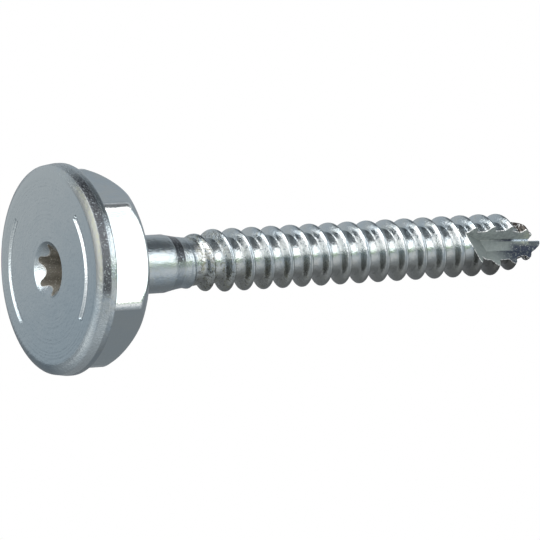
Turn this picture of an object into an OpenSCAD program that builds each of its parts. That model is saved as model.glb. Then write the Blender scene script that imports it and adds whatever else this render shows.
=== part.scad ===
// Levelling screw: a coarse wood thread with a cutting flute, a plain neck, and a hexagon head
// with a round flange. It stands on its flat face, which is at z = 0, and its point is up.

/* [Head] */
// Diameter of the round flange that ends the head
flange_d = 23.2; // [22.6:0.1:28]
// Thickness of the flange
flange_t = 2.15; // [1.8:0.05:3]
// Radius of the broad rounding that ends the flat face
flange_face_r = 2; // [0.6:0.1:2.4]
// Angle that the broad rounding turns through
flange_face_turn = 35; // [15:5:50]
// Radius of the tight rounding between the broad one and the flange's tapered side
flange_edge_r = 0.3; // [0.1:0.05:0.5]
// Angle of the flange's tapered side from the axis
flange_taper_angle = 8; // [2:1:12]
// Width of the straight rim behind the tapered side
flange_rim_w = 0.4; // [0.2:0.1:0.6]
// Width of the flange's small chamfer at its back edge
flange_back_chamfer = 0.1; // [0.05:0.05:0.3]
// Width of the hexagon across its flats
hex_af = 19.2; // [17:0.1:19.5]
// Radius of the hexagon's rounded corners
hex_rounding = 1; // [0.3:0.1:2]
// Height of the whole head, from its face to its back
head_h = 7.5; // [6:0.1:10]
// Gap between a flat and the round land on the back of the hexagon
hex_land_inset = 0.45; // [0.05:0.05:0.8]
// Angle of the chamfer round the back of the hexagon
hex_chamfer_angle = 33; // [20:1:45]
// Width of the chamfer, from the land outwards, up to where it turns steeper
hex_chamfer_w = 1.05; // [0.8:0.05:1.5]
// Angle of the steeper chamfer that rounds the corners off
hex_corner_chamfer_angle = 56; // [46:1:65]

/* [Drive recess] */
// Size of the six-lobed recess over two opposite lobes
recess_d = 5.6; // [5.4:0.05:6.1]
// Size of the recess between two opposite ribs
recess_rib_d = 4; // [3.8:0.05:4.2]
// Radius of the end of one lobe
recess_lobe_r = 0.45; // [0.4:0.01:0.5]
// Depth of the recess to the edge of its pointed floor
recess_depth = 3.2; // [2.6:0.1:4]
// Height of the pointed floor
recess_floor_h = 0.6; // [0.3:0.1:1]
// Diameter of the countersunk mouth of the recess
recess_mouth_d = 6.3; // [6.2:0.1:7.5]
// Depth of the countersunk mouth at the ribs
recess_mouth_h = 0.95; // [0.4:0.05:1.2]
// Turn of the recess from the hexagon's corners
recess_angle = 4; // [-30:1:30]

/* [Face marks] */
// Radius of the middle of the two arc grooves on the face
groove_path_r = 8.4; // [6:0.1:9.2]
// Width of a groove at the face
groove_w = 0.8; // [0.5:0.1:1.4]
// Depth of a groove
groove_depth = 0.2; // [0.1:0.02:0.3]
// Angle that one groove spans
groove_span = 80; // [40:5:120]
// Direction of the middle of the first groove
groove_angle = 97; // [60:1:120]

/* [Neck] */
// Diameter of the plain neck
neck_d = 6.46; // [6.1:0.02:7]
// Length of the plain neck behind the head
neck_l = 6.7; // [4:0.1:12]
// Radius of the fillet between the head and the neck
neck_fillet_r = 0.4; // [0.2:0.1:0.8]
// Length over which the neck narrows towards the thread
neck_taper_l = 2.3; // [1:0.1:4]
// Diameter at the narrow end of the neck
neck_end_d = 5.65; // [5.3:0.05:6]

/* [Thread] */
// Outer diameter of the thread
thread_d = 7; // [6.6:0.1:8]
// Diameter at the root of the thread
root_d = 5; // [4.4:0.1:5.2]
// Distance from one turn to the next
pitch = 2.5; // [2.2:0.05:3]
// Width of the crest of the thread
crest_w = 0.26; // [0.2:0.02:0.5]
// Angle of one flank from square to the axis
flank_angle = 26; // [20:1:35]
// Share of the root's width that stays straight before the flanks start to curve
root_flat = 0.5; // [0.1:0.05:0.6]
// Length over which the thread rises out of the neck
thread_rise_l = 4; // [2:0.1:6]
// Direction in which the crest stands level with the narrow end of the neck
thread_start_angle = 99; // [0:1:359]
// Overall length, from the face to the point
overall_l = 64; // [50:0.5:120]

/* [Point] */
// Length of the rounded, pointed end
tip_l = 5.9; // [4:0.1:9]
// Length of the cutting flute, from the point to where it leaves the crests
flute_l = 12.7; // [8:0.1:16]
// Direction in which the flute's upper wall runs outwards
flute_angle = 66; // [40:1:100]
// Distance from the axis to the upper wall
flute_offset = 0.2; // [0.1:0.05:0.5]
// Distance from the axis to the bottom edge of the flute at the point, along the upper wall
flute_edge = 0.12; // [0.05:0.01:0.3]
// Angle at which the bottom edge rises away from the axis
flute_slope = 4; // [1:0.5:8]
// Angle at which the flute runs out
flute_runout_angle = 33; // [25:1:50]
// Width of the flute's floor, between its bottom edge and its lower wall
flute_floor_w = 1.3; // [0.8:0.1:1.8]
// Angle from the upper wall to the floor
flute_floor_angle = 107; // [100:1:115]
// Angle from the upper wall to the lower wall
flute_wall_angle = 72; // [55:1:90]
// Length of the step that leaves one side of the point blunt
blunt_l = 1.6; // [0.5:0.1:2.5]
// Direction of the blunt side of the point
blunt_angle = 8; // [0:1:40]
// Height above the axis at which the step is cut
blunt_h = 0.12; // [0.1:0.02:0.6]
// Height above the axis at which the slope behind the step starts
blunt_slope_h = 1.2; // [0.8:0.1:1.8]
// Angle of that slope from the axis
blunt_slope_angle = 32; // [20:1:45]

/* [Hidden] */
// Steps in one turn of the thread
steps = 36;
// Smoothness of the turned surfaces
round_fn = 96;
// Overlap between solids that are joined or cut
eps = 0.02;

flange_r = flange_d / 2;
hex_corner_path_r = (hex_af / 2 - hex_rounding) / cos(30);
hex_land_r = hex_af / 2 - hex_land_inset;
neck_r = neck_d / 2;
neck_end_r = neck_end_d / 2;
neck_end_z = head_h + neck_l;
thread_z = neck_end_z + neck_taper_l;
crest_r = thread_d / 2;
root_r = root_d / 2;
thread_depth = crest_r - root_r;
// The core starts a little inside the narrow end of the neck, so that the two join cleanly
core_start_r = neck_end_r - eps;
core_start_z = thread_z - pitch / 2;
// The core has narrowed to the root over the first part of the rise
core_narrow_l = thread_rise_l * 0.75;

// One turn's profile, as pairs of a place along the axis and a share of the thread's depth.
// It runs from the middle of the crest to the middle of the next one.
flank_w = thread_depth * tan(flank_angle);
root_w = pitch - crest_w - 2 * flank_w;
curve_w = root_w * (1 - root_flat) / 2;
profile = [
    [-crest_w / 2, 1],
    [crest_w / 2, 1],
    [crest_w / 2 + flank_w * 0.8, 0.2],
    [crest_w / 2 + flank_w + curve_w * 0.4, 0.05],
    [pitch / 2, 0],
    [pitch - crest_w / 2 - flank_w - curve_w * 0.4, 0.05],
    [pitch - crest_w / 2 - flank_w * 0.8, 0.2],
];
sides = len(profile);

// How much of the full size is left at a height: the pointed end is a round-nosed one
function taper(z) = sqrt(min(1, max(0, (overall_l - z) / tip_l)));
// How far the thread has risen out of the neck at a height, quickly at first
function rise(z) = pow(min(1, max(0, (z - thread_z) / thread_rise_l)), 0.8);
function core_r(z) =
    let(t = min(1, max(0, (z - thread_z) / core_narrow_l)))
    core_start_r + (root_r - core_start_r) * t;
function surface_r(z, share) = (core_r(z) + (crest_r - core_r(z)) * rise(z) * share) * taper(z);

// Rows of the thread's surface run along the helix, and each row holds one profile.
// The first row lies more than a turn below the core, and the last more than a turn past the point.
first_row = -floor((thread_z - core_start_z) / pitch * steps) - 2 * steps;
last_row = ceil((overall_l - thread_z) / pitch * steps) + 2 * steps;
rows = last_row - first_row;
function row_z(row) = thread_z + pitch * (row + first_row) / steps;
function row_angle(row) = thread_start_angle + 360 * (row + first_row) / steps;
function thread_point(row, side) =
    let(z = row_z(row) + profile[side][0], r = surface_r(z, profile[side][1]))
    [r * cos(row_angle(row)), r * sin(row_angle(row)), z];

start_pole = rows * sides + sides;
end_pole = start_pole + 1;
// The number of a point on the surface. Past either end of the core it is the pole there.
function point_number(row, side) =
    side == sides ? point_number(row + steps, 0)
    : let(z = row_z(row) + profile[side][0])
        z < core_start_z ? start_pole : z > overall_l - eps ? end_pole : row * sides + side;

thread_points = [
    for (row = [0:rows], side = [0:sides - 1]) thread_point(row, side),
    [0, 0, core_start_z - eps],
    [0, 0, overall_l]
];
thread_faces = [
    for (row = [0:rows - steps - 1], side = [0:sides - 1])
        let(
            a = point_number(row, side),
            b = point_number(row, side + 1),
            c = point_number(row + 1, side + 1),
            d = point_number(row + 1, side)
        )
        each [
            if (a != b && b != c && a != c) [a, b, c],
            if (a != c && c != d && a != d) [a, c, d]
        ]
];

// Outline of the flange: a flat face, a broad rounding, a tight one, a tapered side and a rim
module flange_profile() {
    rim_z = flange_t - flange_back_chamfer - flange_rim_w;
    edge_end = 90 - flange_taper_angle;
    edge_z = flange_face_r - (flange_face_r - flange_edge_r) * cos(flange_face_turn);
    taper_h = rim_z - edge_z + flange_edge_r * cos(edge_end);
    edge_r = flange_r - taper_h * tan(flange_taper_angle) - flange_edge_r * sin(edge_end);
    face_end_r = edge_r - (flange_face_r - flange_edge_r) * sin(flange_face_turn);
    polygon([
        [0, 0],
        for (k = [0:5])
            let(a = flange_face_turn * k / 5)
                [face_end_r + flange_face_r * sin(a), flange_face_r * (1 - cos(a))],
        for (k = [1:4])
            let(a = flange_face_turn + (edge_end - flange_face_turn) * k / 4)
                [edge_r + flange_edge_r * sin(a), edge_z - flange_edge_r * cos(a)],
        [flange_r, rim_z],
        [flange_r, flange_t - flange_back_chamfer],
        [flange_r - flange_back_chamfer, flange_t],
        [0, flange_t]
    ]);
}

// Outline of the hexagon, with round corners
module hexagon_outline() {
    polygon([
        for (k = [0:5], a = [-30:10:30])
            hex_corner_path_r * [cos(60 * k), sin(60 * k)]
                + hex_rounding * [cos(60 * k + a), sin(60 * k + a)]
    ]);
}

// Outline that the back of the hexagon is turned to
module hexagon_turning() {
    reach = hex_corner_path_r + 2 * hex_rounding;
    turn_r = hex_land_r + hex_chamfer_w;
    turn_z = head_h - hex_chamfer_w * tan(hex_chamfer_angle);
    polygon([
        [0, flange_t / 2],
        [reach, flange_t / 2],
        [reach, turn_z - (reach - turn_r) * tan(hex_corner_chamfer_angle)],
        [turn_r, turn_z],
        [hex_land_r, head_h],
        [0, head_h]
    ]);
}

module hexagon() {
    intersection() {
        linear_extrude(head_h) hexagon_outline();
        rotate_extrude($fn = round_fn) hexagon_turning();
    }
}

// Outline of the six-lobed recess: round lobes, with a rounded rib between each two
module recess_outline() {
    lobe_path_r = recess_d / 2 - recess_lobe_r;
    rib_r = (pow(recess_lobe_r, 2) - pow(recess_rib_d / 2, 2) - pow(lobe_path_r, 2)
        + lobe_path_r * recess_rib_d * cos(30))
        / (2 * (recess_rib_d / 2 - lobe_path_r * cos(30) - recess_lobe_r));
    rib_path_r = recess_rib_d / 2 + rib_r;
    // Half of the angle that a rib's arc spans, up to where it meets the lobes
    rib_half = asin(lobe_path_r * sin(30) / (rib_r + recess_lobe_r));
    lobe_half = rib_half + 30;
    polygon([
        for (k = [0:5]) each [
            for (s = [-1:0.5:1])
                lobe_path_r * [cos(60 * k), sin(60 * k)]
                    + recess_lobe_r * [cos(60 * k + s * lobe_half), sin(60 * k + s * lobe_half)],
            for (s = [-0.5:0.5:0.5])
                rib_path_r * [cos(60 * k + 30), sin(60 * k + 30)]
                    - rib_r * [cos(60 * k + 30 - s * rib_half), sin(60 * k + 30 - s * rib_half)]
        ]
    ]);
}

module recess() {
    translate([0, 0, -eps]) linear_extrude(recess_depth + eps) recess_outline();
    translate([0, 0, recess_depth - eps])
        cylinder(h = recess_floor_h, r1 = recess_rib_d / 2, r2 = 0, $fn = round_fn);
    mouth_slope = (recess_mouth_d - recess_rib_d) / 2 / recess_mouth_h;
    translate([0, 0, -eps]) cylinder(
        h = recess_mouth_h + eps,
        r1 = recess_mouth_d / 2 + eps * mouth_slope,
        r2 = recess_rib_d / 2,
        $fn = round_fn
    );
}

// A shallow round-bottomed groove with square ends, along an arc on the face
module arc_groove(direction) {
    tool_r = (pow(groove_w / 2, 2) + pow(groove_depth, 2)) / (2 * groove_depth);
    rotate([0, 0, direction - groove_span / 2])
        rotate_extrude(angle = groove_span, $fn = round_fn)
            translate([groove_path_r, groove_depth - tool_r]) circle(r = tool_r, $fn = 48);
}

module head() {
    difference() {
        union() {
            rotate_extrude($fn = round_fn) flange_profile();
            hexagon();
        }
        rotate([0, 0, recess_angle]) recess();
        arc_groove(groove_angle);
        arc_groove(groove_angle + 180);
    }
}

// The neck, with a fillet under the head, and narrowing in a hollow curve towards the thread
module neck_profile() {
    polygon([
        [0, head_h - eps],
        [neck_r + neck_fillet_r, head_h - eps],
        for (a = [0:15:90])
            [neck_r + neck_fillet_r * (1 - sin(a)), head_h + neck_fillet_r * (1 - cos(a))],
        for (t = [0:0.25:1])
            [
                neck_end_r + (neck_r - neck_end_r) * pow(1 - t, 1.3),
                neck_end_z + neck_taper_l * t
            ],
        [0, thread_z]
    ]);
}

module neck() {
    rotate_extrude($fn = round_fn) neck_profile();
}

module threaded_shank() {
    polyhedron(points = thread_points, faces = thread_faces, convexity = 10);
}

// The groove that the flute is cut with: an upper wall, a narrow floor and a lower wall
module flute_groove() {
    reach = 3 * thread_d;
    floor_end = flute_floor_w * [cos(flute_floor_angle), sin(flute_floor_angle)];
    translate([flute_edge, -flute_offset, overall_l])
        rotate([0, -flute_slope, 0])
            translate([0, 0, -2 * flute_l])
                linear_extrude(3 * flute_l)
                    polygon([
                        [0, 0],
                        floor_end,
                        floor_end + reach * [cos(flute_wall_angle), sin(flute_wall_angle)],
                        [reach, reach],
                        [reach, 0]
                    ]);
}

// Everything outside the plane in which the flute runs out
module flute_runout() {
    reach = 3 * flute_l;
    translate([crest_r, 0, overall_l - flute_l])
        rotate([0, -flute_runout_angle, 0])
            translate([0, -reach / 2, -reach / 2])
                cube(reach);
}

module flute_cutter() {
    rotate([0, 0, flute_angle])
        intersection() {
            flute_groove();
            flute_runout();
        }
}

// The step that leaves one side of the point blunt, and the slope behind it
module blunt_cutter() {
    reach = 2 * thread_d;
    rotate([0, 0, blunt_angle])
        translate([0, reach / 2, overall_l])
            rotate([90, 0, 0])
                linear_extrude(reach)
                    polygon([
                        [blunt_h, blunt_l],
                        [blunt_h, -blunt_l],
                        [blunt_slope_h, -blunt_l],
                        [reach, -blunt_l - (reach - blunt_slope_h) / tan(blunt_slope_angle)],
                        [reach, blunt_l]
                    ]);
}

module screw() {
    color("lightsteelblue") difference() {
        union() {
            head();
            neck();
            threaded_shank();
        }
        flute_cutter();
        blunt_cutter();
    }
}

screw();
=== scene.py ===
"""Levelling screw in zinc-plated steel, standing on its flat head with its point up.

The head is a turned blank whose hexagon, recess and arc grooves are pressed into it. The thread is
one turn's profile, screwed along the shank. The flute and the blunt side of the point are cut into
the thread before it joins the head.
"""
from math import atan, atan2, cos, pi, radians, sin, tan

import bpy
import numpy as np
from mathutils import Matrix, Vector


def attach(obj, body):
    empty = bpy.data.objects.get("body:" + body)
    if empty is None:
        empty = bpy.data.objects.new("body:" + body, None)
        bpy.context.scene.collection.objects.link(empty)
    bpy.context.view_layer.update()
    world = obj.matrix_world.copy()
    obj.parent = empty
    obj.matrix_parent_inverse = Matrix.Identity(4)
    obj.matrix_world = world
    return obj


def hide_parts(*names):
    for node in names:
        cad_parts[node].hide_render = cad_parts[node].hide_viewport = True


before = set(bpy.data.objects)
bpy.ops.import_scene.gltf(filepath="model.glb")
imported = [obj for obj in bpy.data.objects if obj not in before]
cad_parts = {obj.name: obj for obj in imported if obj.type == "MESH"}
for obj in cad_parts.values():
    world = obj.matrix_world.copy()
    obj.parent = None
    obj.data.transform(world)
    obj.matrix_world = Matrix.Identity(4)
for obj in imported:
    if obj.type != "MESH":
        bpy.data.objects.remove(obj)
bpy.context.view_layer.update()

MM = 0.001

# Head, in millimetres
FLANGE_R = 11.6
FLANGE_T = 2.15
FLANGE_FACE_R = 2.0
FLANGE_FACE_TURN = radians(35)
FLANGE_EDGE_R = 0.3
FLANGE_TAPER = radians(8)
FLANGE_RIM_W = 0.4
FLANGE_BACK_CHAMFER = 0.1
RIM_Z = FLANGE_T - FLANGE_BACK_CHAMFER - FLANGE_RIM_W
HEAD_H = 7.5
HEX_FLAT_R = 9.6
HEX_CORNER_ROUND = 1.0
HEX_LAND_R = 9.15
HEX_CHAMFER = radians(33)
HEX_CHAMFER_W = 1.05
HEX_CORNER_CHAMFER = radians(56)
HEX_NOMINAL_R = 10.9
HEX_EDGE_BLEND = 0.22

# Drive recess
RECESS_D = 5.6
RECESS_RIB_D = 4.0
RECESS_LOBE_R = 0.45
RECESS_DEPTH = 3.2
RECESS_FLOOR_H = 0.6
RECESS_MOUTH_R = 3.15
RECESS_MOUTH_H = 0.95
RECESS_ANGLE = radians(4)
RECESS_NOMINAL_R = 2.4

# Arc grooves on the face
GROOVE_PATH_R = 8.6
GROOVE_W = 0.8
GROOVE_DEPTH = 0.2
GROOVE_HALF_SPAN = radians(40)
GROOVE_ANGLES = (radians(97), radians(277))

# Neck
NECK_R = 3.23
NECK_END_R = 2.825
NECK_FILLET_R = 0.4
NECK_END_Z = 14.2
NECK_END_CURVE = 1.3
THREAD_Z = 16.5

# Thread
CREST_R = 3.5
ROOT_R = 2.5
PITCH = 2.5
CREST_W = 0.26
FLANK_ANGLE = radians(26)
ROOT_FLAT = 0.5
RISE_L = 4.0
RISE_CURVE = 0.8
CORE_INSET = 0.02
START_ANGLE = radians(99)
OVERALL_L = 64.0
CORE_START_Z = 15.25
TRIM = 0.02

# Point
TIP_L = 5.9
FLUTE_L = 12.7
FLUTE_START_Z = OVERALL_L - FLUTE_L
FLUTE_ANGLE = radians(66)
FLUTE_OFFSET = 0.2
FLUTE_EDGE = 0.12
FLUTE_SLOPE = radians(4)
FLUTE_RUNOUT = radians(33)
FLUTE_FLOOR_W = 1.3
FLUTE_FLOOR = radians(107)
FLUTE_WALL = radians(72)
BLUNT_L = 1.6
BLUNT_ANGLE = radians(8)
BLUNT_H = 0.12
BLUNT_SLOPE_H = 1.2
BLUNT_SLOPE = radians(32)

# Fineness of the meshes: steps in a turn, the height of the hexagon's close rows, and how far an
# arc groove's close rows reach from its middle, as a share of its width
SPIN_STEPS = 360
THREAD_STEPS = 96
HEX_FINE_H = 2.1
GROOVE_FINE_SHARE = 0.6

# How near two points, or a point and a surface, count as one, and the angle of a sharp edge
WELD = 1e-3
FINE_WELD = 1e-4
SMOOTH_ANGLE = radians(32)

# The photograph's camera, fitted to the screw's outline
PICTURE = 540
HEAD_AT = (47.94, 270.29)
PX_PER_MM = 9.205
CAMERA_DISTANCE = 642.7
AXIS_AZIMUTH = radians(59.125)
AXIS_ELEVATION = radians(2.936)
HEX_TURN = radians(8.1)


def select_only(piece):
    """Selects one piece, and makes it the active one."""
    bpy.ops.object.select_all(action="DESELECT")
    piece.select_set(True)
    bpy.context.view_layer.objects.active = piece


def trace(name, points, closed=False):
    """An edge-only outline through points in millimetres, extruded from point to point."""
    bpy.ops.object.select_all(action="DESELECT")
    bpy.ops.mesh.primitive_plane_add(size=MM, location=(0, 0, 0))
    piece = bpy.context.object
    piece.name = name
    bpy.ops.object.mode_set(mode="EDIT")
    bpy.ops.mesh.select_all(action="SELECT")
    bpy.ops.mesh.merge(type="CENTER")
    bpy.ops.transform.translate(value=Vector(points[0]) * MM)
    for here, there in zip(points, points[1:]):
        step = (Vector(there) - Vector(here)) * MM
        bpy.ops.mesh.extrude_region_move(TRANSFORM_OT_translate={"value": step})
    if closed:
        bpy.ops.mesh.select_all(action="SELECT")
        bpy.ops.mesh.edge_face_add()
    bpy.ops.object.mode_set(mode="OBJECT")
    return piece


def clean_shell(piece, reach):
    """Merges doubles, and turns every face outwards."""
    select_only(piece)
    bpy.ops.object.mode_set(mode="EDIT")
    bpy.ops.mesh.select_all(action="SELECT")
    bpy.ops.mesh.remove_doubles(threshold=reach * MM)
    bpy.ops.mesh.normals_make_consistent(inside=False)
    bpy.ops.object.mode_set(mode="OBJECT")


def read_points(piece):
    """The mesh's vertices in millimetres, as an array."""
    flat = np.zeros(len(piece.data.vertices) * 3)
    piece.data.vertices.foreach_get("co", flat)
    return flat.reshape(-1, 3) / MM


def write_points(piece, points):
    """Puts the mesh's vertices at points in millimetres."""
    piece.data.vertices.foreach_set("co", (points * MM).ravel())
    piece.data.update()


def finish_with(piece, kind, **settings):
    """Adds a modifier to the piece, and applies it."""
    select_only(piece)
    modifier = piece.modifiers.new(kind.title(), kind)
    for key, value in settings.items():
        setattr(modifier, key, value)
    bpy.ops.object.modifier_apply(modifier=modifier.name)


def combine(piece, tool, operation):
    """A Boolean of the piece with a tool, which is then gone."""
    finish_with(piece, "BOOLEAN", operation=operation, object=tool, solver="EXACT")
    bpy.data.objects.remove(tool)


def smooth_min(a, b, blend):
    """The smaller of a and b, with the edge between them rounded."""
    share = np.clip(0.5 + 0.5 * (b - a) / blend, 0, 1)
    return b + (a - b) * share - blend * share * (1 - share)


def spaced(low, high, count):
    """Values from low to high, evenly spaced, without the first."""
    return [low + (high - low) * k / count for k in range(1, count + 1)]


def recess_outline():
    """The recess before pressing, as radius and height: a plain bore with a countersunk mouth."""
    outline = [(0, RECESS_DEPTH + RECESS_FLOOR_H)]
    outline += [(r, RECESS_DEPTH) for r in spaced(0, RECESS_NOMINAL_R, 5)]
    outline += [(RECESS_NOMINAL_R, z) for z in spaced(RECESS_DEPTH, RECESS_MOUTH_H, 4)]
    for t in spaced(0, 1, 6):
        r = RECESS_NOMINAL_R + (RECESS_MOUTH_R - RECESS_NOMINAL_R) * t
        outline.append((r, RECESS_MOUTH_H * (1 - t)))
    return outline


def flange_outline():
    """The flange from the recess out: its face, its rounding, its tapered side and its rim."""
    groove_in = GROOVE_PATH_R - GROOVE_FINE_SHARE * GROOVE_W
    groove_out = GROOVE_PATH_R + GROOVE_FINE_SHARE * GROOVE_W
    side_z = FLANGE_T - FLANGE_BACK_CHAMFER
    edge_end = pi / 2 - FLANGE_TAPER
    broad_less_tight = FLANGE_FACE_R - FLANGE_EDGE_R
    edge_z = FLANGE_FACE_R - broad_less_tight * cos(FLANGE_FACE_TURN)
    taper_z = edge_z - FLANGE_EDGE_R * cos(edge_end)
    taper_r = FLANGE_R - (RIM_Z - taper_z) * tan(FLANGE_TAPER)
    edge_r = taper_r - FLANGE_EDGE_R * sin(edge_end)
    face_out = edge_r - broad_less_tight * sin(FLANGE_FACE_TURN)
    outline = [(r, 0) for r in spaced(RECESS_MOUTH_R, groove_in, 4)]
    outline += [(r, 0) for r in spaced(groove_in, groove_out, 18)]
    outline += [(r, 0) for r in spaced(groove_out, face_out, 3)]
    for a in spaced(0, FLANGE_FACE_TURN, 12):
        outline.append((face_out + FLANGE_FACE_R * sin(a), FLANGE_FACE_R * (1 - cos(a))))
    for a in spaced(FLANGE_FACE_TURN, edge_end, 8):
        outline.append((edge_r + FLANGE_EDGE_R * sin(a), edge_z - FLANGE_EDGE_R * cos(a)))
    for t in spaced(0, 1, 3):
        outline.append((taper_r + (FLANGE_R - taper_r) * t, taper_z + (RIM_Z - taper_z) * t))
    outline += [(FLANGE_R, z) for z in spaced(RIM_Z, side_z, 2)]
    outline.append((FLANGE_R - FLANGE_BACK_CHAMFER * 0.3, FLANGE_T - FLANGE_BACK_CHAMFER * 0.3))
    outline.append((FLANGE_R - FLANGE_BACK_CHAMFER, FLANGE_T))
    return outline


def hexagon_outline():
    """The hexagon before pressing: a plain boss, with close rows where it is chamfered."""
    chamfer_z = HEAD_H - HEX_FINE_H
    outline = [(HEX_NOMINAL_R, FLANGE_T)]
    outline += [(HEX_NOMINAL_R, z) for z in spaced(FLANGE_T, chamfer_z, 3)]
    outline += [(HEX_NOMINAL_R, z) for z in spaced(chamfer_z, HEAD_H, 30)]
    return outline


def neck_outline():
    """The head's back, the fillet, the neck and its narrowed end, and the point that closes it."""
    fillet_out = NECK_R + NECK_FILLET_R
    outline = [(r, HEAD_H) for r in spaced(HEX_LAND_R, fillet_out, 3)]
    for a in spaced(0, pi / 2, 6):
        outline.append((fillet_out - NECK_FILLET_R * sin(a), HEAD_H + NECK_FILLET_R * (1 - cos(a))))
    outline += [(NECK_R, z) for z in spaced(HEAD_H + NECK_FILLET_R, NECK_END_Z, 4)]
    for t in spaced(0, 1, 12):
        r = NECK_END_R + (NECK_R - NECK_END_R) * (1 - t) ** NECK_END_CURVE
        outline.append((r, NECK_END_Z + (THREAD_Z - NECK_END_Z) * t))
    outline.append((0, THREAD_Z))
    return outline


def blank_profile():
    """The turned blank's outline, from the recess floor to the neck's end."""
    outline = recess_outline() + flange_outline() + hexagon_outline() + neck_outline()
    return [(r, 0, z) for r, z in outline]


def hexagon_r(angle):
    """Distance from the axis to the hexagon's round-cornered outline."""
    turn = np.abs(angle % (pi / 3) - pi / 6)
    corner_path = (HEX_FLAT_R - HEX_CORNER_ROUND) / cos(pi / 6)
    flat_end = atan((HEX_FLAT_R - HEX_CORNER_ROUND) * tan(pi / 6) / HEX_FLAT_R)
    to_corner = pi / 6 - turn
    under_root = np.maximum(HEX_CORNER_ROUND ** 2 - (corner_path * np.sin(to_corner)) ** 2, 0)
    round_r = corner_path * np.cos(to_corner) + np.sqrt(under_root)
    return np.where(turn < flat_end, HEX_FLAT_R / np.cos(turn), round_r)


def recess_r(angle):
    """Distance from the axis to the six-lobed outline of the recess."""
    lobe_path = RECESS_D / 2 - RECESS_LOBE_R
    rib = RECESS_RIB_D / 2
    # The arc of a rib touches the arcs of the lobes beside it, which gives its radius
    rib_r = (RECESS_LOBE_R ** 2 - rib ** 2 - lobe_path ** 2 + 2 * lobe_path * rib * cos(pi / 6)) / (
        2 * (rib - lobe_path * cos(pi / 6) - RECESS_LOBE_R))
    rib_path = rib + rib_r
    share = RECESS_LOBE_R / (rib_r + RECESS_LOBE_R)
    meet_x = lobe_path + share * (rib_path * cos(pi / 6) - lobe_path)
    meet_angle = atan2(share * rib_path * sin(pi / 6), meet_x)
    turn = np.abs((angle - RECESS_ANGLE + pi / 6) % (pi / 3) - pi / 6)
    in_lobe = np.maximum(RECESS_LOBE_R ** 2 - (lobe_path * np.sin(turn)) ** 2, 0)
    to_rib = pi / 6 - turn
    in_rib = np.maximum(rib_r ** 2 - (rib_path * np.sin(to_rib)) ** 2, 0)
    lobe = lobe_path * np.cos(turn) + np.sqrt(in_lobe)
    return np.where(turn < meet_angle, lobe, rib_path * np.cos(to_rib) - np.sqrt(in_rib))


def recess_edge_z(angle):
    """Depth at which the recess wall meets the countersunk mouth."""
    slope = RECESS_MOUTH_H / (RECESS_MOUTH_R - RECESS_RIB_D / 2)
    return slope * (RECESS_MOUTH_R - recess_r(angle))


def groove_dent(r, angle):
    """How deep the two round-bottomed arc grooves are at a place on the face."""
    tool_r = ((GROOVE_W / 2) ** 2 + GROOVE_DEPTH ** 2) / (2 * GROOVE_DEPTH)
    across = np.minimum(np.abs(r - GROOVE_PATH_R), GROOVE_W / 2)
    section = np.sqrt(tool_r ** 2 - across ** 2) - tool_r + GROOVE_DEPTH
    dent = np.zeros_like(r)
    for middle in GROOVE_ANGLES:
        off = np.abs((angle - middle + pi) % (2 * pi) - pi)
        dent = np.where(off < GROOVE_HALF_SPAN, section, dent)
    return dent


def press_hexagon(z, angle):
    """Radius of the hexagon's rows, pressed to its flats and to the two slopes of its chamfer."""
    turn_z = HEAD_H - HEX_CHAMFER_W * tan(HEX_CHAMFER)
    chamfer_r = HEX_LAND_R + (HEAD_H - z) / tan(HEX_CHAMFER)
    steep_r = HEX_LAND_R + HEX_CHAMFER_W + (turn_z - z) / tan(HEX_CORNER_CHAMFER)
    chamfer_r = smooth_min(chamfer_r, steep_r, 2 * HEX_EDGE_BLEND)
    return smooth_min(hexagon_r(angle), chamfer_r, HEX_EDGE_BLEND)


def press_recess(r, z, angle):
    """Radius and height of all rows, with the recess's own pressed to its six lobes.

    The point that closes the outline counts as floor too, which leaves a hidden cone in the neck.
    """
    wall_r = recess_r(angle)
    edge_z = recess_edge_z(angle)
    floor = (r < RECESS_NOMINAL_R - WELD) & (z > WELD)
    wall = (np.abs(r - RECESS_NOMINAL_R) < WELD) & (z > WELD)
    mouth = (r > RECESS_NOMINAL_R + WELD) & (r < RECESS_MOUTH_R + WELD) & (z < RECESS_MOUTH_H)
    new_r = np.where(floor, r / RECESS_NOMINAL_R * wall_r, r)
    floor_dip = RECESS_FLOOR_H * np.clip(1 - new_r / (RECESS_RIB_D / 2), 0, 1)
    new_z = np.where(floor, RECESS_DEPTH + floor_dip, z)
    down = (z - RECESS_MOUTH_H) / (RECESS_DEPTH - RECESS_MOUTH_H)
    new_r = np.where(wall, wall_r, new_r)
    new_z = np.where(wall, edge_z + (RECESS_DEPTH - edge_z) * down, new_z)
    out = (r - RECESS_NOMINAL_R) / (RECESS_MOUTH_R - RECESS_NOMINAL_R)
    new_r = np.where(mouth, wall_r + (RECESS_MOUTH_R - wall_r) * out, new_r)
    new_z = np.where(mouth, edge_z * (1 - out), new_z)
    return new_r, new_z


def press_head(piece):
    """Presses the hexagon, the recess and the arc grooves into the turned blank."""
    points = read_points(piece)
    r = np.hypot(points[:, 0], points[:, 1])
    z = points[:, 2]
    angle = np.arctan2(points[:, 1], points[:, 0])
    new_r, new_z = press_recess(r, z, angle)
    boss = np.abs(r - HEX_NOMINAL_R) < WELD
    new_r = np.where(boss, press_hexagon(z, angle), new_r)
    face = (z < WELD) & (r > RECESS_MOUTH_R + WELD)
    new_z = np.where(face, groove_dent(r, angle), new_z)
    write_points(piece, np.column_stack((new_r * np.cos(angle), new_r * np.sin(angle), new_z)))


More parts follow.
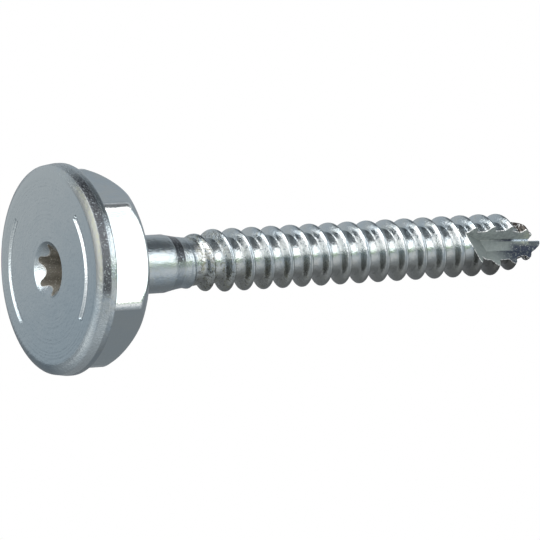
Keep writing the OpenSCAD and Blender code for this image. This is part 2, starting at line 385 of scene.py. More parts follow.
def make_blank():
    """The head and neck: spun from their outline, then pressed."""
    piece = trace("levelling_screw", blank_profile())
    bpy.ops.object.mode_set(mode="EDIT")
    bpy.ops.mesh.select_all(action="SELECT")
    bpy.ops.mesh.spin(steps=SPIN_STEPS, angle=2 * pi, center=(0, 0, 0), axis=(0, 0, 1))
    bpy.ops.object.mode_set(mode="OBJECT")
    clean_shell(piece, WELD)
    press_head(piece)
    clean_shell(piece, FINE_WELD)
    return piece


def thread_profile():
    """One turn's profile, from the middle of a crest to the middle of the next one."""
    depth = CREST_R - ROOT_R
    flank_w = depth * tan(FLANK_ANGLE)
    root_w = PITCH - CREST_W - 2 * flank_w
    curve_w = root_w * (1 - ROOT_FLAT) / 2
    # Each point is how far it lies along the axis, and its share of the thread's depth
    half = [
        (0, 1),
        (CREST_W * 0.35, 0.99),
        (CREST_W * 0.7, 0.93),
        (CREST_W / 2 + flank_w * 0.3, 0.8),
        (CREST_W / 2 + flank_w * 0.5, 0.57),
        (CREST_W / 2 + flank_w * 0.7, 0.32),
        (CREST_W / 2 + flank_w * 0.85, 0.14),
        (CREST_W / 2 + flank_w, 0.05),
        (CREST_W / 2 + flank_w + curve_w * 0.5, 0.012),
        (PITCH / 2, 0),
    ]
    mirrored = [(PITCH - along, share) for along, share in reversed(half[:-1])]
    return [(ROOT_R + depth * share, 0, along) for along, share in half + mirrored]


def shape_thread(piece):
    """Gives each point its radius: the thread rises out of the neck, and shrinks with the point."""
    points = read_points(piece)
    r = np.hypot(points[:, 0], points[:, 1])
    z = points[:, 2]
    share = (r - ROOT_R) / (CREST_R - ROOT_R)
    core_start = NECK_END_R - CORE_INSET
    narrowing = np.clip((z - THREAD_Z) / (RISE_L * 0.75), 0, 1)
    core = core_start + (ROOT_R - core_start) * narrowing
    rise = np.clip((z - THREAD_Z) / RISE_L, 0, 1) ** RISE_CURVE
    taper = np.sqrt(np.clip((OVERALL_L - z) / TIP_L, 0.0001, 1))
    scale = (core + (CREST_R - core) * rise * share) * taper / r
    points[:, 0] *= scale
    points[:, 1] *= scale
    write_points(piece, points)


def cut_square(piece, z, keep_above):
    """Cuts the piece across at a height, closes the cut and keeps one side."""
    select_only(piece)
    bpy.ops.object.mode_set(mode="EDIT")
    bpy.ops.mesh.select_all(action="SELECT")
    bpy.ops.mesh.bisect(plane_co=(0, 0, z * MM), plane_no=(0, 0, 1), use_fill=True,
                        clear_inner=keep_above, clear_outer=not keep_above, threshold=1e-7)
    bpy.ops.object.mode_set(mode="OBJECT")


def make_thread():
    """The threaded shank, screwed from one turn's profile."""
    piece = trace("thread", thread_profile())
    turns_below = 2
    turns = turns_below + int((OVERALL_L - THREAD_Z) / PITCH) + 3
    finish_with(piece, "SCREW", angle=2 * pi, screw_offset=PITCH * MM, iterations=turns, axis="Z",
                steps=THREAD_STEPS, render_steps=THREAD_STEPS, use_merge_vertices=True,
                merge_threshold=WELD * MM, use_smooth_shade=False)
    points = read_points(piece)
    turned = points[:, 0] + 1j * points[:, 1]
    turned = turned * np.exp(1j * START_ANGLE)
    points[:, 0] = turned.real
    points[:, 1] = turned.imag
    points[:, 2] += THREAD_Z - turns_below * PITCH
    write_points(piece, points)
    clean_shell(piece, WELD)
    shape_thread(piece)
    cut_square(piece, CORE_START_Z, keep_above=True)
    cut_square(piece, OVERALL_L - TRIM, keep_above=False)
    clean_shell(piece, FINE_WELD)
    return piece


def flute_frame():
    """Turns the flute groove's own axes to its place."""
    place = Matrix.Translation(Vector((FLUTE_EDGE, -FLUTE_OFFSET, OVERALL_L)) * MM)
    return Matrix.Rotation(FLUTE_ANGLE, 4, "Z") @ place @ Matrix.Rotation(-FLUTE_SLOPE, 4, "Y")


def runout_frame():
    """Turns the plane in which the flute runs out to its place."""
    place = Matrix.Translation(Vector((CREST_R, 0, FLUTE_START_Z)) * MM)
    return Matrix.Rotation(FLUTE_ANGLE, 4, "Z") @ place @ Matrix.Rotation(-FLUTE_RUNOUT, 4, "Y")


def prism(name, corners, height, frame_matrix):
    """A prism on an outline, centred along its length and put in its place."""
    piece = trace(name, corners, closed=True)
    bpy.ops.object.mode_set(mode="EDIT")
    bpy.ops.mesh.select_all(action="SELECT")
    bpy.ops.transform.translate(value=(0, 0, -height / 2 * MM))
    bpy.ops.mesh.extrude_region_move(TRANSFORM_OT_translate={"value": (0, 0, height * MM)})
    bpy.ops.object.mode_set(mode="OBJECT")
    clean_shell(piece, FINE_WELD)
    piece.data.transform(frame_matrix)
    return piece


def make_flute_cutter():
    """The groove that the flute is cut with, up to the plane in which it runs out."""
    reach = 6 * CREST_R
    floor_end = (FLUTE_FLOOR_W * cos(FLUTE_FLOOR), FLUTE_FLOOR_W * sin(FLUTE_FLOOR), 0)
    wall_end = (floor_end[0] + reach * cos(FLUTE_WALL), floor_end[1] + reach * sin(FLUTE_WALL), 0)
    corners = [(0, 0, 0), floor_end, wall_end, (reach, reach, 0), (reach, 0, 0)]
    groove = prism("flute_groove", corners, 4 * FLUTE_L, flute_frame())
    half = 2 * reach
    outside = [(0, -half, 0), (half, -half, 0), (half, half, 0), (0, half, 0)]
    combine(groove, prism("runout", outside, 4 * half, runout_frame()), "INTERSECT")
    return groove


def make_blunt_cutter():
    """The step that leaves one side of the point blunt, and the slope behind it."""
    reach = 4 * CREST_R
    slope_end = -BLUNT_L - (reach - BLUNT_SLOPE_H) / tan(BLUNT_SLOPE)
    corners = [
        (BLUNT_H, BLUNT_L, 0),
        (BLUNT_H, -BLUNT_L, 0),
        (BLUNT_SLOPE_H, -BLUNT_L, 0),
        (reach, slope_end, 0),
        (reach, BLUNT_L, 0),
    ]
    place = Matrix.Translation((0, 0, OVERALL_L * MM)) @ Matrix.Rotation(pi / 2, 4, "X")
    return prism("blunt_cutter", corners, reach, Matrix.Rotation(BLUNT_ANGLE, 4, "Z") @ place)


def make_screw():
    """The whole screw: the thread is cut first, and then joined to the blank."""
    thread = make_thread()
    combine(thread, make_flute_cutter(), "DIFFERENCE")
    combine(thread, make_blunt_cutter(), "DIFFERENCE")
    screw = make_blank()
    combine(screw, thread, "UNION")
    clean_shell(screw, FINE_WELD)
    select_only(screw)
    bpy.ops.object.shade_smooth_by_angle(angle=SMOOTH_ANGLE)
    return screw


# Colours of the finish, and of its painted shade, highlights and glints
TINTS = ((0.41, 0.465, 0.5, 1), (0.45, 0.485, 0.495, 1), (0.41, 0.44, 0.40, 1))
FACE_LIGHT_AND_SHADE = ((0.43, 0.47, 0.48, 1), (0.32, 0.385, 0.425, 1))
PAINTED_SHEEN = (0.7, 0.75, 0.76, 1)
PAINTED_SHADE = (0.075, 0.078, 0.088, 1)
MATT = (0.2, 0.205, 0.195, 1)
OLIVE = (0.22, 0.225, 0.175, 1)
PAINTED_HIGHLIGHT = (0.9, 0.91, 0.9, 1)
GRIME_AND_SHADE = ((0.15, 0.145, 0.12, 1), (0.05, 0.045, 0.036, 1), (0.28, 0.28, 0.2, 1))
THREAD_SHADE = ((0.35, 0.345, 0.32, 1), (0.13, 0.115, 0.1, 1))
RECESS_BROWN = ((0.28, 0.265, 0.23, 1), (0.85, 0.83, 0.78, 1))
MILLED = ((0.31, 0.345, 0.335, 1), (0.43, 0.47, 0.45, 1))
MILLED_END_HIGHLIGHT = (0.55, 0.6, 0.47, 1)
FLUTE_SHADE = (0.17, 0.2, 0.2, 1)
NAVY_SHADE = (0.025, 0.035, 0.06, 1)
FOLD_HIGHLIGHT = (0.7, 0.8, 0.88, 1)
BURR_GLINT = (0.95, 0.95, 0.93, 1)
TORN_BROWN = (0.05, 0.042, 0.035, 1)

# Sides of the screw: where the thread is painted in shade, where the head is painted lighter, and
# where it is darker
SHADOW_SIDE = radians(188)
LIT_SIDE = radians(158)
DARK_SIDE = radians(76)

NECK_BAND_Z = 15.1
BUMP_DEPTH = 0.025


def flute_planes():
    """The flute's planes, each as its direction into the groove and its distance from the origin."""
    groove = flute_frame()
    runout = runout_frame()
    floor_end = Vector((cos(FLUTE_FLOOR), sin(FLUTE_FLOOR), 0)) * FLUTE_FLOOR_W
    planes = []
    for place, into, through in (
            (groove, (0, 1, 0), Vector()),
            (groove, (sin(FLUTE_FLOOR), -cos(FLUTE_FLOOR), 0), Vector()),
            (groove, (sin(FLUTE_WALL), -cos(FLUTE_WALL), 0), floor_end),
            (runout, (1, 0, 0), Vector())):
        direction = place.to_3x3() @ Vector(into)
        planes.append((direction, direction.dot(place @ (through * MM) / MM)))
    return planes


def blunt_planes():
    """The planes of the blunt side of the point, given in the same way."""
    turn = Matrix.Rotation(BLUNT_ANGLE, 3, "Z")
    step_z = OVERALL_L - BLUNT_L
    planes = []
    for into, through in (
            ((1, 0, 0), (BLUNT_H, 0, step_z)),
            ((0, 0, 1), (BLUNT_H, 0, step_z)),
            ((cos(BLUNT_SLOPE), 0, sin(BLUNT_SLOPE)), (BLUNT_SLOPE_H, 0, step_z))):
        direction = turn @ Vector(into)
        planes.append((direction, direction.dot(turn @ Vector(through))))
    return planes


def mark_faces(piece, name, planes, lowest):
    """Marks the faces above a height that lie in one of the planes."""
    values = []
    for face in piece.data.polygons:
        middle = face.center / MM
        near = any(abs(direction.dot(middle) - far) < 0.01 and face.normal.dot(direction) > 0.9
                   for direction, far in planes)
        values.append(1.0 if near and middle.z > lowest else 0.0)
    mark = piece.data.attributes.new(name, "FLOAT", "FACE")
    mark.data.foreach_set("value", values)


def mark_surfaces(piece):
    """Marks the recess wall, the flute's milled walls and the torn end, for the finish."""
    points = read_points(piece)
    r = np.hypot(points[:, 0], points[:, 1])
    angle = np.arctan2(points[:, 1], points[:, 0])
    edge_z = recess_edge_z(angle)
    in_recess = (r < recess_r(angle) + 0.02) & (points[:, 2] > edge_z - 0.02)
    in_recess &= points[:, 2] < RECESS_DEPTH + RECESS_FLOOR_H + 0.1
    recess = piece.data.attributes.new("recess", "FLOAT", "POINT")
    recess.data.foreach_set("value", in_recess.astype(float))
    mark_faces(piece, "milled", flute_planes(), FLUTE_START_Z - 2)
    mark_faces(piece, "torn", blunt_planes(), OVERALL_L - TIP_L - 2)


class Wire:
    """A socket that Python's arithmetic adds Math nodes to."""

    def __init__(self, shop, socket):
        self.shop = shop
        self.socket = socket

    def __add__(self, other):
        return self.shop.maths("ADD", self, other)

    def __sub__(self, other):
        return self.shop.maths("SUBTRACT", self, other)

    def __rsub__(self, other):
        return self.shop.maths("SUBTRACT", other, self)

    def __mul__(self, other):
        return self.shop.maths("MULTIPLY", self, other)

    def __truediv__(self, other):
        return self.shop.maths("DIVIDE", self, other)

    __radd__ = __add__
    __rmul__ = __mul__


class Shop:
    """Adds nodes to the tree of one material or of the world."""

    def __init__(self, owner):
        owner.use_nodes = True
        self.tree = owner.node_tree
        self.tree.nodes.clear()

    def add(self, kind, settings=None, out=0, **values):
        """One node: its settings first, then its sockets' values or links. Gives one output.

        A socket is given by its name, or by its number after an underscore.
        """
        node = self.tree.nodes.new(kind)
        for key, value in (settings or {}).items():
            setattr(node, key, value)
        for key, value in values.items():
            wanted = int(key[1:]) if key[0] == "_" else key.replace("_", " ")
            socket = node.inputs[wanted]
            if isinstance(value, Wire):
                self.tree.links.new(value.socket, socket)
            else:
                socket.default_value = value
        return Wire(self, node.outputs[out]) if node.outputs else node

    def maths(self, operation, *values):
        """A Math node on one to three values."""
        sockets = {f"_{k}": value for k, value in enumerate(values)}
        return self.add("ShaderNodeMath", {"operation": operation}, **sockets)

    def largest(self, first, *others):
        """The largest of some values."""
        for other in others:
            first = self.maths("MAXIMUM", first, other)
        return first

    def smallest(self, first, *others):
        """The smallest of some values."""
        for other in others:
            first = self.maths("MINIMUM", first, other)
        return first

    def fade(self, factor, first, second):
        """A number from first, at 0, to second, at 1."""
        return first + factor * (second - first)

    def step(self, value, low, high):
        """Rises smoothly from 0 to 1 as the value goes from low to high."""
        return self.add("ShaderNodeMapRange", {"interpolation_type": "SMOOTHSTEP"},
                        Value=value, From_Min=low, From_Max=high)

    def band(self, value, middle, half, edge):
        """1 within half of the middle, and 0 an edge further out."""
        away = self.maths("ABSOLUTE", value - middle)
        return 1 - self.step(away, half, half + edge)

    def mix(self, factor, first, second):
        """A colour from first, at 0, to second, at 1."""
        return self.add("ShaderNodeMix", {"data_type": "RGBA"}, out=2, _0=factor, _6=first, _7=second)

    def noise(self, place, scale, detail=2.0, roughness=0.5):
        """Soft noise, with its scale in cycles per millimetre where the place is in millimetres."""
        return self.add("ShaderNodeTexNoise", Vector=place, Scale=scale, Detail=detail,
                        Roughness=roughness)


def into_plane(shop, place, plane):
    """How far a place is past a plane, in millimetres."""
    direction, far = plane
    return shop.add("ShaderNodeVectorMath", {"operation": "DOT_PRODUCT"}, out=1, _0=place,
                    _1=direction) - far


class Places:
    """What the finish reads at each place on the screw: where it is, its marks and its patterns."""

    def __init__(self, shop):
        local = shop.add("ShaderNodeTexCoord", out=3)
        self.point = shop.add("ShaderNodeVectorMath", {"operation": "SCALE"}, _0=local, Scale=1 / MM)
        self.x, self.y, self.z = (
            shop.add("ShaderNodeSeparateXYZ", out=k, _0=self.point) for k in range(3))
        self.r = shop.maths("SQRT", self.x * self.x + self.y * self.y)
        self.dull_side, self.pale_side, self.dark_side = (
            self.towards(side) / self.r for side in (SHADOW_SIDE, LIT_SIDE, DARK_SIDE))
        self.recess, self.milled, self.torn = (
            shop.add("ShaderNodeAttribute", {"attribute_name": name}, out=2)
            for name in ("recess", "milled", "torn"))

        self.fine = shop.noise(self.point, 6.5, 3.0, 0.6)
        self.coarse = shop.noise(self.point, 2.4, 2.0)
        self.broad = shop.noise(self.point, 0.5, 3.0)
        self.specks = shop.noise(self.point, 3.0, 4.0, 0.7)

        side = shop.step(self.r, FLANGE_R - 0.22, FLANGE_R - 0.14)
        rounding = shop.step(self.r, FLANGE_R - 1.5, FLANGE_R - 1.1) * (1 - side)
        hexagon = shop.step(self.z, FLANGE_T + 0.15, FLANGE_T + 0.35)
        hexagon = hexagon * (1 - shop.step(self.z, HEAD_H - 0.1, HEAD_H))
        self.face = 1 - shop.step(self.z, 0.02, 0.1)
        self.rounding = rounding * (1 - shop.step(self.z, 0.9, 1.0))
        self.tapered = side * (1 - shop.step(self.z, RIM_Z - 0.35, RIM_Z - 0.1))
        self.hexagon = hexagon * shop.step(self.r, HEX_LAND_R - 0.15, HEX_LAND_R + 0.05)
        self.threaded = shop.step(self.z, THREAD_Z + 0.4, THREAD_Z + 1.2)

    def towards(self, side):
        """How far a place is from the axis, measured towards one side."""
        return self.x * cos(side) + self.y * sin(side)


def plating_and_painted_light(shop, at):
    """The plating's colour, with painted highlights on the hexagon's corners, painted shading across
    the face and a painted pale reflection on one side of the head.
    """
    colour = shop.mix(shop.step(at.broad, 0.35, 0.65), TINTS[0], TINTS[1])
    colour = shop.mix(shop.step(at.coarse, 0.52, 0.75) * 0.5, colour, TINTS[2])
    # Painted shading: the face is lighter towards the lit side and darker and bluer away from it,
    # broken up by broad noise
    across_face = at.towards(LIT_SIDE) + at.broad * 8
    face_colour = shop.mix(shop.step(across_face, -6, 14), *FACE_LIGHT_AND_SHADE)
    colour = shop.mix(1 - shop.step(at.z, 0.02, 0.5), colour, face_colour)

    # Painted highlight: near-white specks along the hexagon's outer corners
    corner = at.hexagon * shop.step(at.r, HEX_NOMINAL_R - 0.14, HEX_NOMINAL_R - 0.06)
    corner = corner * (1 - shop.step(at.z, HEAD_H - 1.6, HEAD_H - 1.4))
    colour = shop.mix(corner * shop.step(at.fine, 0.35, 0.5), colour, PAINTED_HIGHLIGHT)

    # Painted reflection: the rounding, the flange's tapered side and the hexagon are paler towards the
    # lit side
    pale = at.rounding * shop.step(at.pale_side, 0.8, 1.0) * 0.65
    pale = pale + at.tapered * shop.step(at.pale_side, 0.75, 0.95)
    pale = pale + at.hexagon * shop.step(at.pale_side, 0.5, 0.9) * 0.6
    return shop.mix(pale, colour, PAINTED_SHEEN)


def stain_and_shade_head(shop, at, matt, colour):
    """Stains the matt part of the rounding, and paints shade in charcoal on the flange's side and on a
    band of the neck.
    """
    stain = shop.step(at.r, FLANGE_R - 0.65, FLANGE_R - 0.45) * shop.step(at.specks, 0.4, 0.6)
    colour = shop.mix(matt * 0.9, colour, shop.mix(stain, MATT, OLIVE))
    # Painted shade: a charcoal band round the narrowed end of the neck
    neck_band = shop.band(at.z, NECK_BAND_Z, 0.5, 0.12)
    neck_band = neck_band * (1 - shop.step(at.dull_side, -0.12, 0.02) * 0.8)
    # Painted shade: charcoal on the flange's tapered side towards the dark side, with specks of
    # plating left in it
    shaded = at.tapered * shop.step(at.dark_side, 0, 0.2)
    shaded = shaded * shop.step(at.dull_side, -0.95, -0.8) * (1 - shop.step(at.dull_side, 0.17, 0.31))
    shaded = shop.largest(shaded, neck_band) * (1 - shop.step(at.fine, 0.55, 0.68))
    return shop.mix(shaded * 0.92, colour, PAINTED_SHADE)


def paint_groove_highlights(shop, at, colour):
    """Paints a highlight on the inner edge of the two arc grooves."""
    off_middle = shop.maths("ABSOLUTE", at.towards(GROOVE_ANGLES[0]) / at.r)
    groove_end = cos(GROOVE_HALF_SPAN)
    in_groove = shop.step(off_middle, groove_end, groove_end + 0.02)
    in_groove = in_groove * shop.band(at.r, GROOVE_PATH_R - GROOVE_W * 0.35, 0.12, 0.1)
    return shop.mix(in_groove * (1 - shop.step(at.z, 0.2, 0.3)) * 0.35, colour, PAINTED_HIGHLIGHT)


def shade_and_soil_thread(shop, at, colour):
    """Paints shade on the thread's shadow side, rough scale painted as highlight, and dirt with
    painted shade. Gives the colour and the last two.
    """
    flank = shop.band((at.r - ROOT_R) / (CREST_R - ROOT_R), 0.45, 0.3, 0.2)
    early = 1 - shop.step(at.z, THREAD_Z + 1.5, THREAD_Z + 25.5)
    first = 1 - shop.step(at.z, THREAD_Z + 2.5, THREAD_Z + 8.5)
    # Painted shade: the thread is darker towards its shadow side, and browner near the point
    shade = shop.mix(shop.step(at.z, OVERALL_L - 16, OVERALL_L - 6), *THREAD_SHADE)
    colour = shop.mix(at.threaded * shop.step(at.dull_side, 0.0, 0.75) * 0.85, colour, shade)

    # Rough scaly specks on the flanks facing the light, painted near-white as a highlight
    scale = at.threaded * flank * shop.band(at.dull_side, -0.35, 0.2, 0.25)
    scale = scale * shop.step(at.specks, 0.35, 0.5)
    colour = shop.mix(scale * 0.8, colour, PAINTED_HIGHLIGHT)

    # Dirt and painted shade: dark specks on the flanks and in the first threads' roots, gathered on
    # the shadow side
    lower_half = shop.largest(shop.step(at.dull_side, -0.15, 0.25), first)
    on_flank = flank * (0.25 + early * 0.65) * shop.step(at.specks, 0.44, 0.62) * lower_half
    in_root = (1 - flank) * first * shop.step(at.specks, 0.52, 0.6)
    in_root = in_root * shop.step(at.dull_side, -0.1, 0.1)
    grime_and_shade = at.threaded * (on_flank + in_root)
    grime_and_shade_colour = shop.mix(shop.largest(first, early * shop.step(at.fine, 0.5, 0.6)), *GRIME_AND_SHADE[:2])
    grime_and_shade_colour = shop.mix(shop.step(at.coarse, 0.42, 0.6), grime_and_shade_colour, GRIME_AND_SHADE[2])
    return shop.mix(grime_and_shade * 0.9, colour, grime_and_shade_colour), scale, grime_and_shade


def light_and_shade_flute(shop, at, upper, floor, lower):
    """The milled walls' colour, from how far past each wall's plane a place is, with painted shade,
    highlights and glints.
    """
    to_upper, to_floor, to_lower = (
        shop.maths("ABSOLUTE", distance) for distance in (upper, floor, lower))
    on_upper, on_floor, on_lower = (
        1 - shop.step(distance, 0.02, 0.05) for distance in (to_upper, to_floor, to_lower))
    fold = 1 - shop.step(shop.largest(to_upper, to_floor), 0.1, 0.24)
    near_end = shop.step(at.z, OVERALL_L - 7.5, OVERALL_L - 4)
    low_floor = on_floor * (1 - shop.step(lower, 0.25, 0.75))
    low_floor = low_floor * shop.step(at.z, OVERALL_L - 5, OVERALL_L - 3.5)
    end_floor = on_floor * shop.step(at.z, OVERALL_L - 2.2, OVERALL_L - 1.4) * 0.9
    # Painted shade: navy on the lower wall, along the fold and on the floor near the end
    dark = shop.largest(on_lower * near_end, fold * near_end, low_floor, end_floor)

    colour = shop.mix(shop.step(at.coarse, 0.35, 0.65), *MILLED)
    # Painted shade: every wall but the upper one is darker grey
    colour = shop.mix((1 - on_upper) * 0.75, colour, FLUTE_SHADE)
    # Painted highlight: pale greenish specks near the end
    speckled_highlight = shop.step(at.z, OVERALL_L - 4, OVERALL_L - 2) * shop.step(at.specks, 0.4, 0.6)
    colour = shop.mix(speckled_highlight, colour, MILLED_END_HIGHLIGHT)
    colour = shop.mix(dark * shop.step(at.specks, 0.34, 0.46), colour, NAVY_SHADE)
    # Painted glints: white specks in the navy shade and near the end
    glint = shop.step(at.fine, 0.66, 0.7) * shop.largest(dark, near_end * 0.25)
    colour = shop.mix(glint, colour, BURR_GLINT)
    # Painted highlight: a pale blue line along the fold near the end
    fold_highlight = fold * shop.step(at.z, OVERALL_L - 4.2, OVERALL_L - 3.4)
    return shop.mix(fold_highlight * shop.step(at.fine, 0.38, 0.46), colour, FOLD_HIGHLIGHT)


def cut_point(shop, at, colour):
    """Adds the flute, its burred edge painted with white glints, and the torn end with painted glints
    among its specks. Gives the colour and how dull they are.
    """
    upper, floor, lower, runout = (into_plane(shop, at.point, plane) for plane in flute_planes())
    colour = shop.mix(at.milled, colour, light_and_shade_flute(shop, at, upper, floor, lower))

    end = (1 - at.milled) * shop.step(at.z, OVERALL_L - 4, OVERALL_L - 3.6)
    end = shop.largest(at.torn, end)
    # The torn end is brown-black, with painted white glints among its specks
    torn_colour = shop.mix(shop.step(at.specks, 0.56, 0.62), TORN_BROWN, BURR_GLINT)
    colour = shop.mix(end, colour, torn_colour)

    into_flute = shop.smallest(upper, floor, lower, runout)
    # A real burred edge along the flute, painted with white glints
    burr_glint = shop.step(into_flute, -0.09, -0.05) * shop.step(at.fine, 0.4, 0.48)
    burr_glint = burr_glint * (1 - at.milled) * (1 - at.torn)
    burr_glint = burr_glint * shop.step(at.z, FLUTE_START_Z - 2, FLUTE_START_Z - 1)
    colour = shop.mix(burr_glint, colour, BURR_GLINT)
    return colour, shop.largest(at.milled * 0.65, burr_glint, end * 0.5)


def make_bump(shop, at):
    """The plating's orange peel, the milled walls' grain and the face's marks of turning."""
    rings = shop.noise(shop.add("ShaderNodeCombineXYZ", _0=at.r * 3), 1.0, 2.0) * at.face
    flat = at.hexagon * (1 - shop.step(at.r, HEX_NOMINAL_R - 0.7, HEX_NOMINAL_R - 0.4))
    fine_share = 1.2 + at.tapered * 1.4 + at.milled * 2 - at.threaded * 0.4 - at.face * 0.8
    fine_share = fine_share - flat * 0.8
    coarse_share = 1.4 + at.tapered * 0.4 - at.threaded * 0.2 - at.face * 0.6 - at.hexagon * 0.9
    height = at.fine * fine_share + at.coarse * coarse_share + rings * 0.6
    return shop.add("ShaderNodeBump", Strength=1.0, Distance=BUMP_DEPTH * MM, Height=height)


def make_zinc():
    """Bright zinc plating, with a dull milled flute, a dark recess, dirt and painted shade in the
    thread, and painted highlights and glints.
    """
    material = bpy.data.materials.new("zinc_plated_steel")
    shop = Shop(material)
    at = Places(shop)
    matt = at.rounding * shop.step(at.r, FLANGE_R - 1.2, FLANGE_R - 0.8)
    matt = matt * shop.step(at.dark_side, 0.7, 0.95)
    colour = stain_and_shade_head(shop, at, matt, plating_and_painted_light(shop, at))
    colour = paint_groove_highlights(shop, at, colour)
    colour, scale, grime_and_shade = shade_and_soil_thread(shop, at, colour)
    recess_colour = shop.mix(shop.step(at.fine, 0.56, 0.7), *RECESS_BROWN)
    colour = shop.mix(at.recess, colour, recess_colour)
    colour, dull = cut_point(shop, at, colour)
    rough = 0.13 + at.broad * 0.08 + grime_and_shade * 0.25 + at.milled * 0.35 + at.recess * 0.2
    rough = rough + matt * 0.15 + scale * 0.25
    surface = shop.add("ShaderNodeBsdfPrincipled", Base_Color=colour, Roughness=rough,
                       Metallic=1 - shop.largest(dull, at.recess * 0.6),
                       Normal=make_bump(shop, at))
    shop.add("ShaderNodeOutputMaterial", Surface=surface)
    return material


def view_axes():
    """The screw's X, Y and Z axes as the camera sees them: right, up and towards the viewer."""
    along = Vector((cos(AXIS_ELEVATION) * sin(AXIS_AZIMUTH), sin(AXIS_ELEVATION),
                    -cos(AXIS_ELEVATION) * cos(AXIS_AZIMUTH)))
    up = (Vector((0, 1, 0)) - along * along.y).normalized()
    facing = along.cross(up)
    x_axis = up * cos(HEX_TURN) - facing * sin(HEX_TURN)
    y_axis = up * sin(HEX_TURN) + facing * cos(HEX_TURN)
    return Matrix((x_axis, y_axis, along))


def make_camera():
    """The photograph's camera, placed from where the middle of the head's face shows."""
    focal_px = CAMERA_DISTANCE * PX_PER_MM
    right = (HEAD_AT[0] - PICTURE / 2) / PX_PER_MM
    up = (PICTURE / 2 - HEAD_AT[1]) / PX_PER_MM
    face_middle = Vector((right, up, -CAMERA_DISTANCE)) * MM
    axes = view_axes()
    data = bpy.data.cameras.new("camera")
    data.sensor_width = 36
    data.lens = focal_px * data.sensor_width / PICTURE
    data.clip_start = 0.01
    data.clip_end = 10
    camera = bpy.data.objects.new("camera", data)
    camera.matrix_world = Matrix.Translation(-(axes @ face_middle)) @ axes.to_4x4()
    bpy.context.scene.collection.objects.link(camera)
    bpy.context.scene.camera = camera


# The studio, as azimuth and elevation in degrees about the camera: 0 is behind the camera, and
# positive azimuths are to the right. A softbox or a glow has its middle, its half size, the width
# of its soft edges and its level. Each other edge is given as where it starts and where it ends.
SOFTBOXES = (
    (64.5, 23, 10.5, 17, 3, 3, 3.4),
    (-47, 20, 18, 25, 4, 4, 3.4),
    (-9, 62, 40, 26, 5, 8, 3.4),
    (-71, 11, 13, 11, 5, 7, 3.0),
    (15, 14, 30, 14, 10, 10, 1.1),
    (108, 22, 28, 14, 10, 10, 0.6),
)
FLOOR_GLOWS = (
    (72, -22, 15, 8, 12, 16, 0.4),
    (-58, -12, 38, 8, 15, 12, 0.5),
)
DARK_LEVEL = 0.17
WALL_LEVEL = 0.56
WALL_TINT = (0.93, 1.0, 1.06, 1)
LEFT_WALL_EDGE = (-66, -58)
RIGHT_WALL_EDGE = (122, 148)
WALL_TOP = (50, 62)
BRIGHT_WALL_EDGES = ((-175, -130), (-110, -80))
BRIGHT_WALL_EXTRA = 0.17
FLAG_EDGE = (140, 158)
FLAG_TOP = (4, 18)
FLAG_LEVEL = 0.3
SKIRTING = (70, 0, 12, 5, 6, 3)
SKIRTING_LEVEL = 0.55
SKIRTING_TINT = (0.8, 1.0, 0.62, 1)
FLOOR_TOP = (-9, -4)
FLOOR_LEVEL = 0.28
LIT_FLOOR_EDGES = ((-125, -90), (90, 135))
LIT_FLOOR_EXTRA = 0.32
UNDER_CAMERA_EDGE = (38, 58)


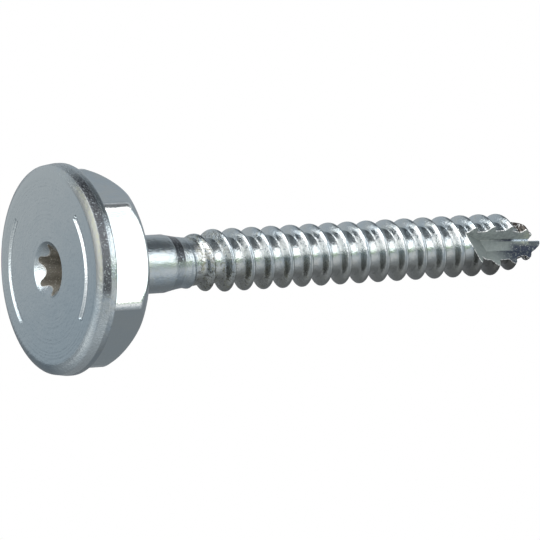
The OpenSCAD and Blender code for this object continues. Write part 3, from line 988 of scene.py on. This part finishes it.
def make_studio():
    """A pale studio: softboxes in front, pale walls at the left and behind, and dark overhead."""
    world = bpy.data.worlds.new("studio")
    bpy.context.scene.world = world
    shop = Shop(world)
    ray = shop.add("ShaderNodeTexCoord", out=0)
    axes = view_axes()
    right, up, towards = (
        shop.add("ShaderNodeVectorMath", {"operation": "DOT_PRODUCT"}, out=1, _0=ray, _1=axes.col[k])
        for k in range(3))
    azimuth = shop.maths("ARCTAN2", right, towards) * (180 / pi)
    elevation = shop.maths("ARCSINE", up) * (180 / pi)
    away = shop.maths("ABSOLUTE", azimuth)

    def patch(middle_az, middle_el, half_az, half_el, edge_az, edge_el):
        """1 inside a soft-edged patch of the studio, and 0 outside it."""
        across = shop.band(azimuth, middle_az, half_az, edge_az)
        return across * shop.band(elevation, middle_el, half_el, edge_el)

    walls = 1 - shop.step(azimuth, *LEFT_WALL_EDGE) + shop.step(azimuth, *RIGHT_WALL_EDGE)
    walls = walls * (1 - shop.step(elevation, *WALL_TOP))
    bright_wall = shop.step(azimuth, *BRIGHT_WALL_EDGES[0]) - shop.step(azimuth, *BRIGHT_WALL_EDGES[1])
    level = shop.fade(walls, DARK_LEVEL, WALL_LEVEL + bright_wall * BRIGHT_WALL_EXTRA)
    flag = shop.step(away, *FLAG_EDGE) * (1 - shop.step(elevation, *FLAG_TOP))
    level = shop.fade(flag, level, FLAG_LEVEL)
    skirting = patch(*SKIRTING)
    level = shop.fade(skirting, level, SKIRTING_LEVEL)
    lit_floor = shop.step(azimuth, *LIT_FLOOR_EDGES[0])
    lit_floor = lit_floor * (1 - shop.step(azimuth, *LIT_FLOOR_EDGES[1]))
    lit_floor = lit_floor * (1 - shop.step(0 - elevation, *UNDER_CAMERA_EDGE) * 0.5)
    floor_level = FLOOR_LEVEL + lit_floor * LIT_FLOOR_EXTRA
    for *place, extra in FLOOR_GLOWS:
        floor_level = floor_level + patch(*place) * extra
    level = shop.fade(1 - shop.step(elevation, *FLOOR_TOP), level, floor_level)
    for *place, box_level in SOFTBOXES:
        level = shop.largest(level, patch(*place) * box_level)
    camera_ray = shop.add("ShaderNodeLightPath", out=0)
    level = shop.fade(camera_ray, level, 1)
    tint = shop.mix(shop.step(level, 0.5, 1.0), WALL_TINT, (1, 1, 1, 1))
    tint = shop.mix(skirting * (1 - camera_ray), tint, SKIRTING_TINT)
    light = shop.add("ShaderNodeBackground", Color=tint, Strength=level)
    shop.add("ShaderNodeOutputWorld", Surface=light)


def make_floor():
    """A pale floor that shows from above only, because the photograph's camera is below it."""
    bpy.ops.object.select_all(action="DESELECT")
    bpy.ops.mesh.primitive_plane_add(size=2, location=(0, 0, -0.2 * MM))
    floor = bpy.context.object
    floor.name = "floor"
    for kind in ("glossy", "diffuse", "transmission", "shadow"):
        setattr(floor, "visible_" + kind, False)
    material = bpy.data.materials.new("pale_floor")
    shop = Shop(material)
    seen_from_below = shop.add("ShaderNodeNewGeometry", out=6)
    pale = shop.add("ShaderNodeBsdfDiffuse", Color=(0.8, 0.8, 0.8, 1))
    clear = shop.add("ShaderNodeBsdfTransparent")
    surface = shop.add("ShaderNodeMixShader", _0=seen_from_below, _1=pale, _2=clear)
    shop.add("ShaderNodeOutputMaterial", Surface=surface)
    floor.data.materials.append(material)


make_camera()
make_studio()
make_floor()

screw = make_screw()
mark_surfaces(screw)
screw.data.materials.clear()
screw.data.materials.append(make_zinc())
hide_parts("screw")
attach(screw, "root")

bpy.context.scene.view_settings.view_transform = "Standard"
